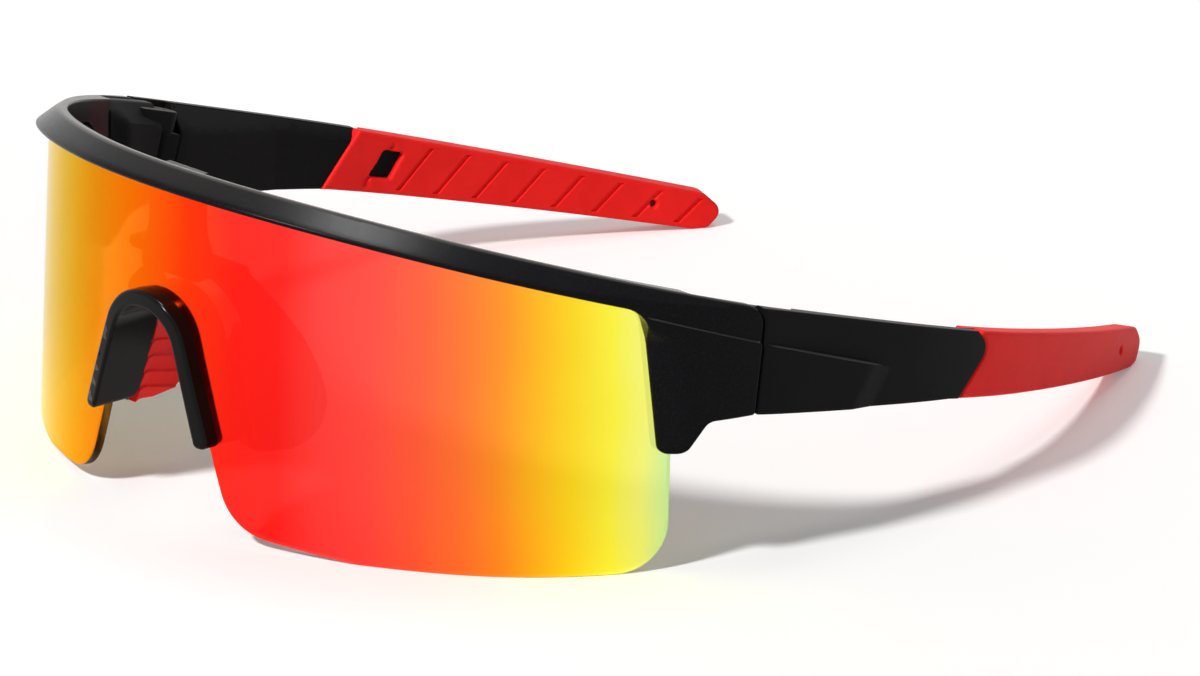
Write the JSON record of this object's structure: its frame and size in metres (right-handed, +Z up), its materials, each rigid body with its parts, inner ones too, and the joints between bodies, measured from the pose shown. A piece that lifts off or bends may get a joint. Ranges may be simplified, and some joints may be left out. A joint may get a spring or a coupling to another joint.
{
  "type": "shield sunglasses",
  "caption": "Wraparound sport sunglasses with a mirrored shield lens under a half-rim brow bar, soft nose pads and folding temples with ribbed rubber sleeves.",
  "frame": {"origin": "middle of the glasses in width and depth, on the surface that they rest on with the temples open", "axes": "+X toward the wearer's left, +Y back along the temples, so the lens faces -Y, +Z up"},
  "size_m": [0.1442, 0.1726, 0.054],
  "materials": {
    "frame": "satin moulded black",
    "lens": "mirror coated, yellow to red",
    "clip": "polished black",
    "rubber": "soft matte red",
    "screw": "plain steel"
  },
  "bodies": {
    "front": {"frame_front": "frame", "shield_lens": "lens", "nose_bridge": "clip", "nose_pad_left": "rubber", "nose_pad_right": "rubber", "hinge_screw_left": "screw", "hinge_screw_right": "screw"},
    "temple_left": {"temple_left": "frame", "temple_sleeve_left": "rubber"},
    "temple_right": {"temple_right": "frame", "temple_sleeve_right": "rubber"}
  },
  "joints": [
    {"name": "temple_left_fold", "type": "hinge", "parent": "front", "child": "temple_left", "pos_m": [0.06652, -0.02625, 0.03043], "axis": [0, 0.2773, 0.9608], "range_deg": [0, 92]},
    {"name": "temple_right_fold", "type": "hinge", "parent": "front", "child": "temple_right", "pos_m": [-0.06652, -0.02625, 0.03043], "axis": [0, -0.2773, -0.9608], "range_deg": [0, 75]}
  ]
}
